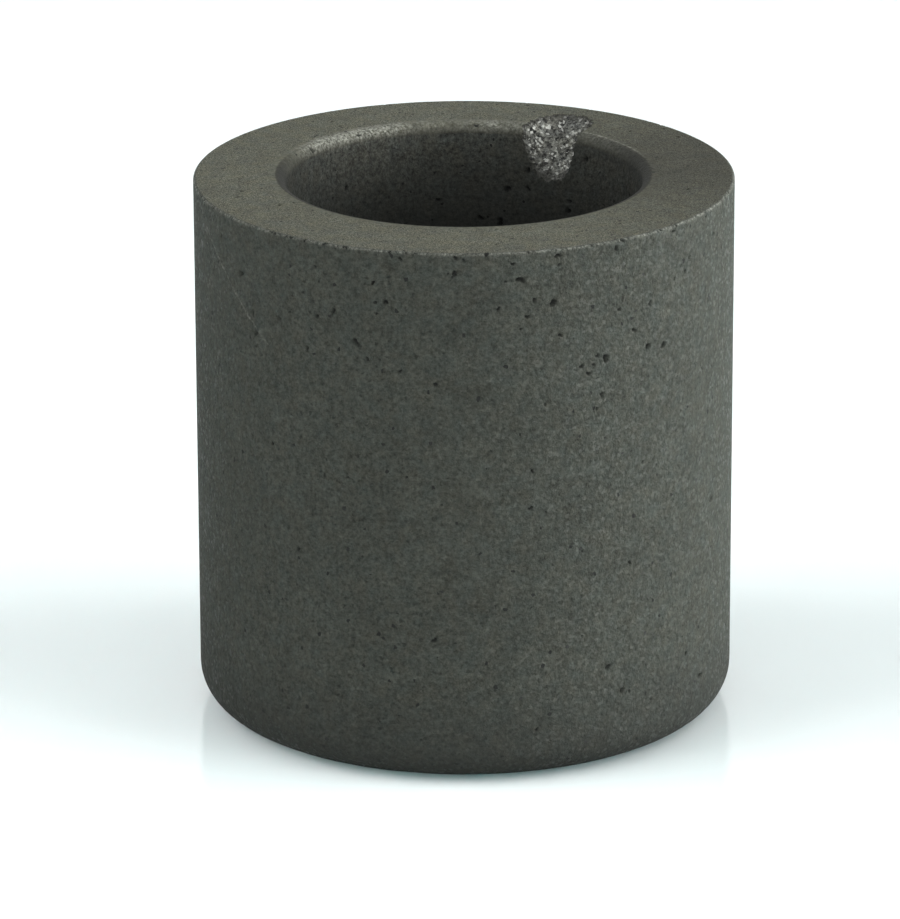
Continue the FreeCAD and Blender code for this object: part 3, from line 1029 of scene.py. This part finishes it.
def softbox(name, turn, rise, distance, size, power, floor, lights_floor):
    """A square soft lamp that faces the crucible, and lights the floor alone or all but the floor."""
    turn, rise = math.radians(turn), math.radians(rise)
    lamp = bpy.data.lights.new(name, "AREA")
    lamp.shape = "SQUARE"
    lamp.size = size
    lamp.energy = power
    way = Vector((math.sin(turn) * math.cos(rise), -math.cos(turn) * math.cos(rise), math.sin(rise)))
    lamp_object = bpy.data.objects.new(name, lamp)
    lamp_object.location = LAMP_AIM + way * distance
    lamp_object.rotation_euler = way.to_track_quat("Z", "Y").to_euler()
    lamp_object.visible_camera = False
    bpy.context.scene.collection.objects.link(lamp_object)
    lit = bpy.data.collections.new(name + "_lights")
    lit.objects.link(floor)
    lit.collection_objects[0].light_linking.link_state = "INCLUDE" if lights_floor else "EXCLUDE"
    lamp_object.light_linking.receiver_collection = lit


# The camera's lens and film width in millimetres, where it points, and how far it leans.
CAMERA_LENS = 259.1
SENSOR_WIDTH = 36.0
CAMERA_AIM = Vector((-1.37 * MM, 0, 22.95 * MM))
CAMERA_ROLL = math.radians(-0.183)
# The nearest and farthest that it sees, in metres.
CAMERA_CLIP = (0.01, 10.0)


class SetStudio(bpy.types.Operator):
    """Set the white floor, the soft lamps, the world and the camera"""

    bl_idname = "crucible.studio"
    bl_label = "Studio"

    def execute(self, context):
        scene = context.scene
        studio = scene.crucible_studio
        floor = self.lay_floor(scene, studio)
        self.hang_lamps(floor)
        self.light_world(scene)
        self.place_camera(scene, studio)
        scene.view_settings.view_transform = "Standard"
        return {"FINISHED"}

    def lay_floor(self, scene, studio):
        """One wide square sheet."""
        reach = studio.floor_radius
        corners = [(-reach, -reach, 0), (reach, -reach, 0), (reach, reach, 0), (-reach, reach, 0)]
        mesh = bpy.data.meshes.new("floor")
        mesh.from_pydata(corners, [], [(0, 1, 2, 3)])
        mesh.materials.append(opal_acrylic(studio))
        floor = bpy.data.objects.new("floor", mesh)
        scene.collection.objects.link(floor)
        return floor

    def hang_lamps(self, floor):
        """The softboxes for the crucible, and those for the floor."""
        for lamp in CRUCIBLE_LAMPS:
            softbox(*lamp, floor, lights_floor=False)
        for lamp in FLOOR_LAMPS:
            softbox(*lamp, floor, lights_floor=True)

    def light_world(self, scene):
        """A weak even fill, and plain white wherever the world is seen past the floor."""
        world = bpy.data.worlds.new("white_room")
        world.use_nodes = True
        tree = world.node_tree
        tree.nodes.clear()
        seen = seen_straight(tree)
        fill = add(tree, "Background", {"Color": hex_colour("#F2F8FF"), "Strength": 0.03})
        white = add(tree, "Background", {"Color": (1, 1, 1, 1), "Strength": 1.0})
        both = add(tree, "MixShader", {0: seen, 1: fill, 2: white})
        add(tree, "OutputWorld", {"Surface": both})
        scene.world = world

    def place_camera(self, scene, studio):
        """A long lens on the crucible, which stands a little right of the middle of the picture."""
        back, up = math.cos(studio.camera_elevation), math.sin(studio.camera_elevation)
        camera = bpy.data.cameras.new("camera")
        camera.lens = CAMERA_LENS
        camera.sensor_width = SENSOR_WIDTH
        camera.clip_start, camera.clip_end = CAMERA_CLIP
        camera_object = bpy.data.objects.new("camera", camera)
        stand = Vector((0, 0, CAMERA_AIM.z))
        camera_object.location = Vector((0, -back, up)) * studio.camera_distance + stand
        view = (CAMERA_AIM - camera_object.location).to_track_quat("-Z", "Y").to_matrix().to_4x4()
        roll = Matrix.Rotation(CAMERA_ROLL, 4, "Z")
        camera_object.rotation_euler = (view @ roll).to_euler()
        scene.collection.objects.link(camera_object)
        scene.camera = camera_object


class CruciblePanel(bpy.types.Panel):
    """The crucible's settings and buttons"""

    bl_idname = "VIEW3D_PT_crucible"
    bl_label = "Graphite Crucible"
    bl_space_type = "VIEW_3D"
    bl_region_type = "UI"
    bl_category = "Crucible"

    def draw(self, context):
        for operator in OPERATORS:
            self.layout.operator(operator.bl_idname)
        for name, group in GROUPS.items():
            box = self.layout.box()
            for setting in group.__annotations__:
                box.prop(getattr(context.scene, name), setting)


OPERATORS = (SetStudio, TurnCrucible)
GROUPS = {
    "crucible_sizes": CrucibleSizes, "crucible_finish": CrucibleFinish,
    "crucible_colours": GraphiteColours, "crucible_studio": StudioSettings,
}


def register():
    """Makes the settings, the operators and the panel known to Blender."""
    for name, group in GROUPS.items():
        bpy.utils.register_class(group)
        setattr(bpy.types.Scene, name, PointerProperty(type=group))
    for kind in (*OPERATORS, CruciblePanel):
        bpy.utils.register_class(kind)


def unregister():
    """Takes them away again."""
    for kind in (CruciblePanel, *reversed(OPERATORS)):
        bpy.utils.unregister_class(kind)
    for name, group in GROUPS.items():
        delattr(bpy.types.Scene, name)
        bpy.utils.unregister_class(group)


def main():
    """Builds the whole scene."""
    register()
    bpy.ops.crucible.studio()
    bpy.ops.crucible.turn()


if __name__ == "__main__":
    main()
